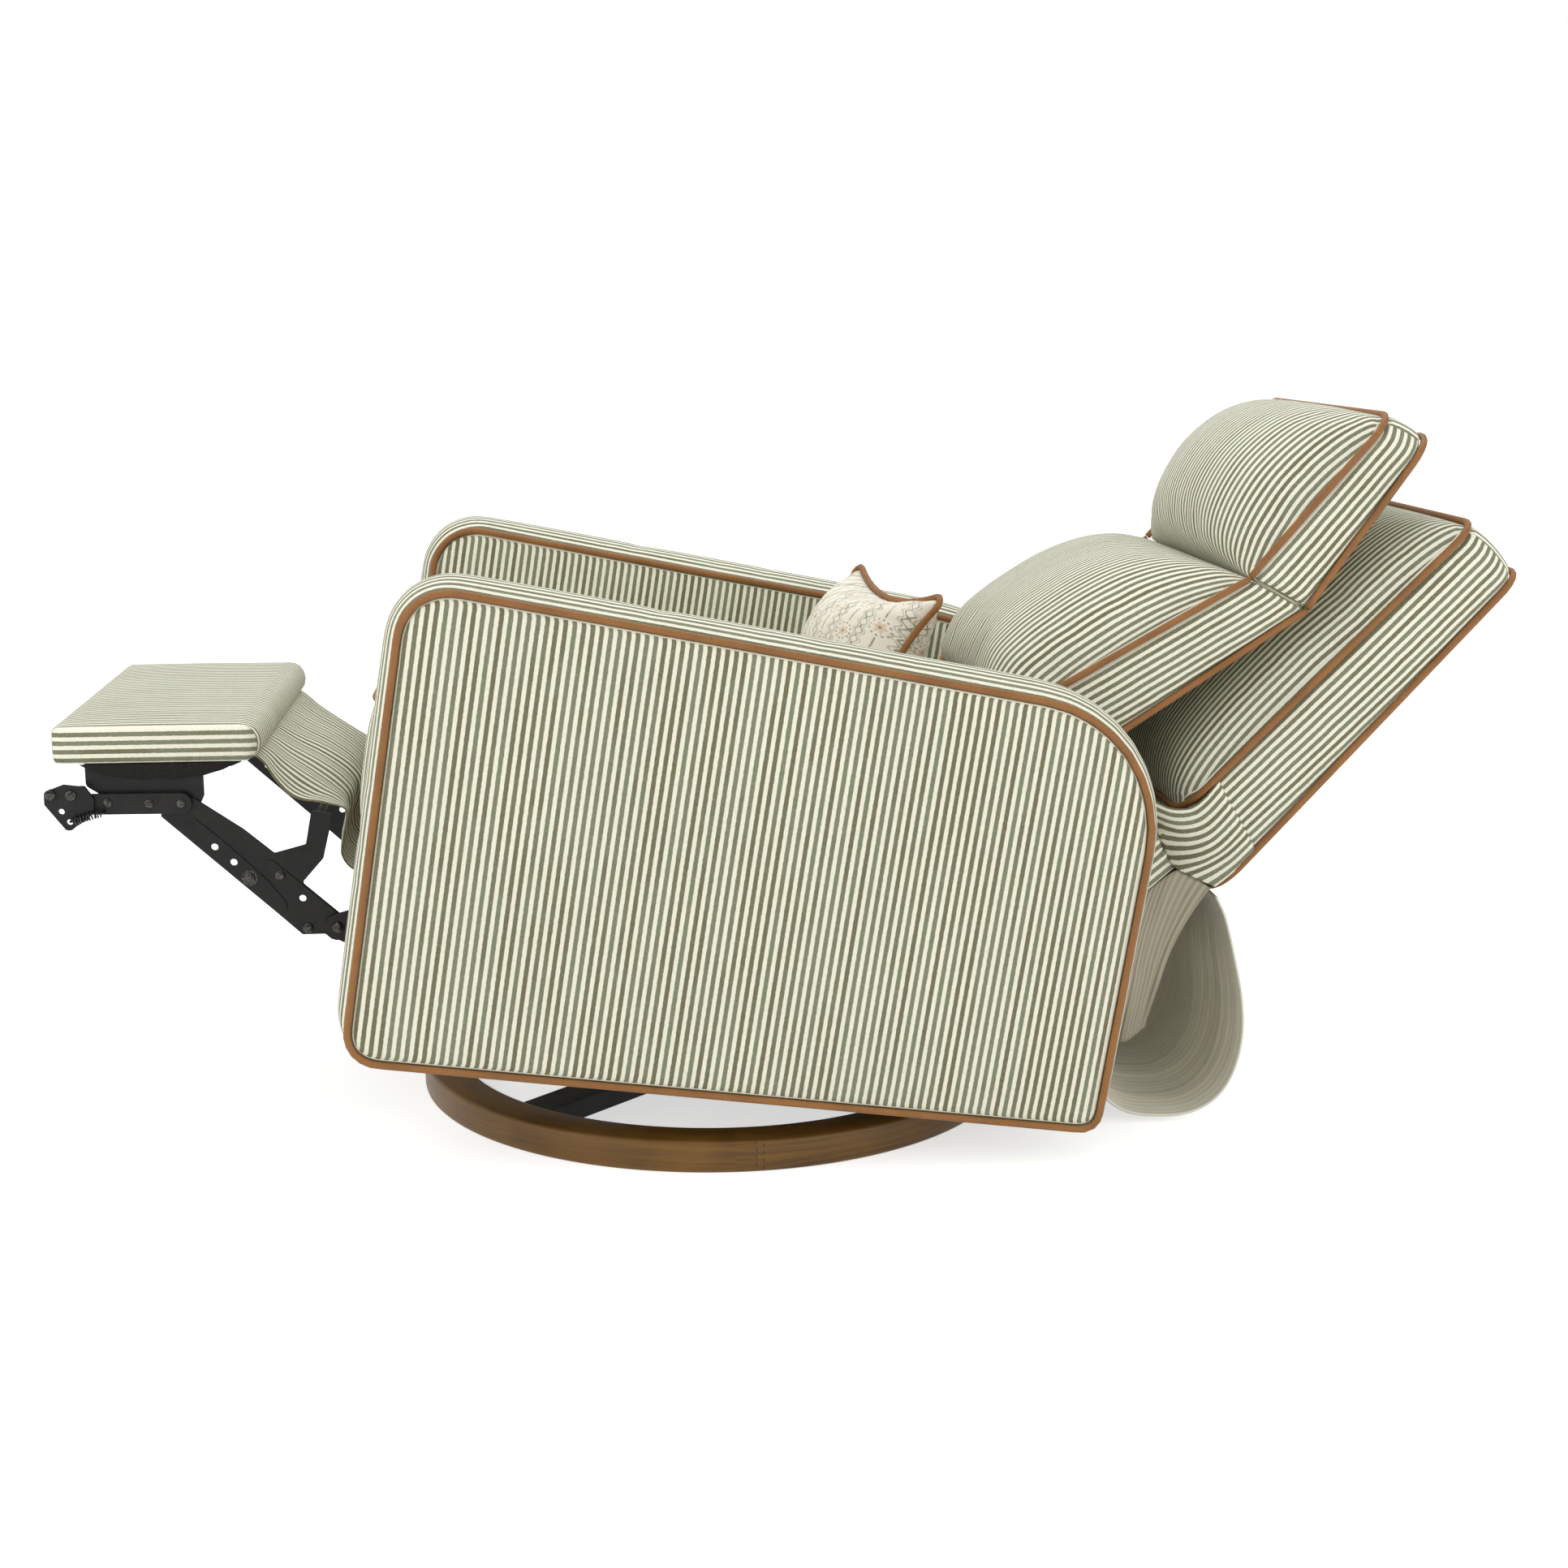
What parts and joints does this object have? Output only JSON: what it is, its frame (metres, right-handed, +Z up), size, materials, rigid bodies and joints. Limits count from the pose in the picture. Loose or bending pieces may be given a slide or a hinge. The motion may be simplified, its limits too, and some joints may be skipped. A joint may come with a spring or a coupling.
{
  "type": "swivel glider recliner",
  "caption": "Upholstered recliner on a swivel ring with a gliding seat, reclining back, adjustable headrest and a fold-out footrest.",
  "frame": {"origin": "on the floor, at the middle of the open chair's bounding box", "axes": "+Z up, the chair's front faces -Y, +X is the sitter's left"},
  "size_m": [0.778, 1.6579, 0.8394],
  "materials": {
    "striped_fabric": "woven stripe, cream with sage and olive, matt",
    "printed_linen": "printed linen, cream ground",
    "tan_leather": "tan leather piping, semi-matt",
    "walnut": "stained bent wood, satin",
    "hardwood": "plain frame wood, unfinished",
    "black_steel": "black coated steel, semi-gloss",
    "dust_cloth": "black lining cloth",
    "black_plastic": "moulded, fine grain",
    "motor_black": "moulded housing"
  },
  "bodies": {
    "base": {"base_ring": "walnut", "base_cross": "black_steel", "swivel_lower_plate": "black_steel"},
    "turntable": {"swivel_upper_plate": "black_steel", "glide_pan": "black_steel", "glide_frame_left": "black_steel", "glide_frame_right": "black_steel"},
    "glide_rear_links": {"glide_link_rear_left": "black_steel", "glide_link_rear_right": "black_steel"},
    "glide_front_links": {"glide_link_front_left": "black_steel", "glide_link_front_right": "black_steel"},
    "seat": {"arm_left": "striped_fabric", "arm_right": "striped_fabric", "arm_piping_inner_left": "tan_leather", "arm_piping_inner_right": "tan_leather", "arm_piping_outer_left": "tan_leather", "arm_piping_outer_right": "tan_leather", "seat_rail_left": "hardwood", "seat_rail_right": "hardwood", "seat_front_rail": "hardwood", "seat_rear_rail": "hardwood", "seat_springs": "black_steel", "seat_cushion": "striped_fabric", "seat_cushion_piping": "tan_leather", "mechanism_plate_left": "black_steel", "mechanism_plate_right": "black_steel", "drive_motor": "motor_black", "control_pad": "black_plastic", "power_inlet": "black_plastic", "rear_drape": "striped_fabric", "footrest_flap": "striped_fabric"},
    "footrest_swing": {"footrest_link_swing_left": "black_steel", "footrest_link_swing_right": "black_steel", "drive_tube": "black_steel"},
    "footrest_long": {"footrest_link_long_left": "black_steel", "footrest_link_long_right": "black_steel", "footrest_cross_bar": "black_steel"},
    "footrest": {"footrest_pad": "striped_fabric", "footrest_board": "hardwood", "footrest_dust_cover": "dust_cloth", "footrest_bracket_left": "black_steel", "footrest_bracket_right": "black_steel", "footrest_side_link_left": "black_steel", "footrest_side_link_right": "black_steel"},
    "back": {"back_shell": "striped_fabric", "back_piping_front": "tan_leather", "back_piping_rear": "tan_leather", "back_hinge_rail": "black_steel", "back_cushion": "striped_fabric", "back_cushion_piping_front": "tan_leather", "back_cushion_piping_rear": "tan_leather"},
    "headrest": {"headrest_cushion": "striped_fabric", "headrest_piping_front": "tan_leather", "headrest_piping_rear": "tan_leather"},
    "button_1": {"control_button_1": "black_plastic"},
    "button_2": {"control_button_2": "black_plastic"},
    "button_3": {"control_button_3": "black_plastic"},
    "button_4": {"control_button_4": "black_plastic"},
    "pillow": {"lumbar_pillow": "printed_linen", "lumbar_pillow_piping": "tan_leather"}
  },
  "joints": [
    {"name": "swivel", "type": "hinge", "parent": "base", "child": "turntable", "pos_m": [0, -0.08, 0], "axis": [0, 0, 1], "continuous": true},
    {"name": "glide", "type": "hinge", "parent": "turntable", "child": "glide_rear_links", "pos_m": [0, 0.1, 0.225], "axis": [-1, 0, 0], "range_deg": [0, 35.9]},
    {"name": "glide_front", "type": "hinge", "parent": "turntable", "child": "glide_front_links", "pos_m": [0, -0.2, 0.225], "axis": [-1, 0, 0], "range_deg": [0, 35.9]},
    {"name": "glide_seat", "type": "hinge", "parent": "glide_rear_links", "child": "seat", "pos_m": [0, 0.1, 0.125], "axis": [1, 0, 0], "range_deg": [0, 44.91]},
    {"name": "footrest_swing", "type": "hinge", "parent": "seat", "child": "footrest_swing", "pos_m": [0, -0.32632, 0.31137], "axis": [1, 0, 0], "range_deg": [0, 94], "deforming": ["footrest_flap"]},
    {"name": "footrest_long", "type": "hinge", "parent": "footrest_swing", "child": "footrest_long", "pos_m": [0, -0.51798, 0.25951], "axis": [1, 0, 0], "range_deg": [-94, 0]},
    {"name": "footrest_board", "type": "hinge", "parent": "footrest_long", "child": "footrest", "pos_m": [0, -0.683, 0.405], "axis": [1, 0, 0], "range_deg": [0, 81]},
    {"name": "recline", "type": "hinge", "parent": "seat", "child": "back", "pos_m": [0, 0.39164, 0.22904], "axis": [1, 0, 0], "range_deg": [0, 24], "deforming": ["rear_drape"]},
    {"name": "headrest", "type": "hinge", "parent": "back", "child": "headrest", "pos_m": [0, 0.58256, 0.60381], "axis": [1, 0, 0], "range_deg": [-12, 0]},
    {"name": "pillow_slide", "type": "slide", "parent": "seat", "child": "pillow", "axis": [0, -0.9659, 0.2588], "range_m": [0, 0.0801]},
    {"name": "button_1_press", "type": "slide", "parent": "seat", "child": "button_1", "axis": [1, 0, 0], "range_m": [0, 0.002], "stiffness_N_per_m": 400},
    {"name": "button_2_press", "type": "slide", "parent": "seat", "child": "button_2", "axis": [1, 0, 0], "range_m": [0, 0.002], "stiffness_N_per_m": 400},
    {"name": "button_3_press", "type": "slide", "parent": "seat", "child": "button_3", "axis": [1, 0, 0], "range_m": [0, 0.002], "stiffness_N_per_m": 400},
    {"name": "button_4_press", "type": "slide", "parent": "seat", "child": "button_4", "axis": [1, 0, 0], "range_m": [0, 0.002], "stiffness_N_per_m": 400}
  ],
  "couplings": [
    {"joint": "glide_front", "follows": "glide", "ratio": 1},
    {"joint": "glide_seat", "follows": "glide", "ratio": 1.2507},
    {"joint": "footrest_long", "follows": "footrest_swing", "ratio": -1},
    {"joint": "footrest_board", "follows": "footrest_swing", "ratio": 0.8617},
    {"joint": "pillow_slide", "follows": "recline", "m_per_rad": 0.19099}
  ]
}
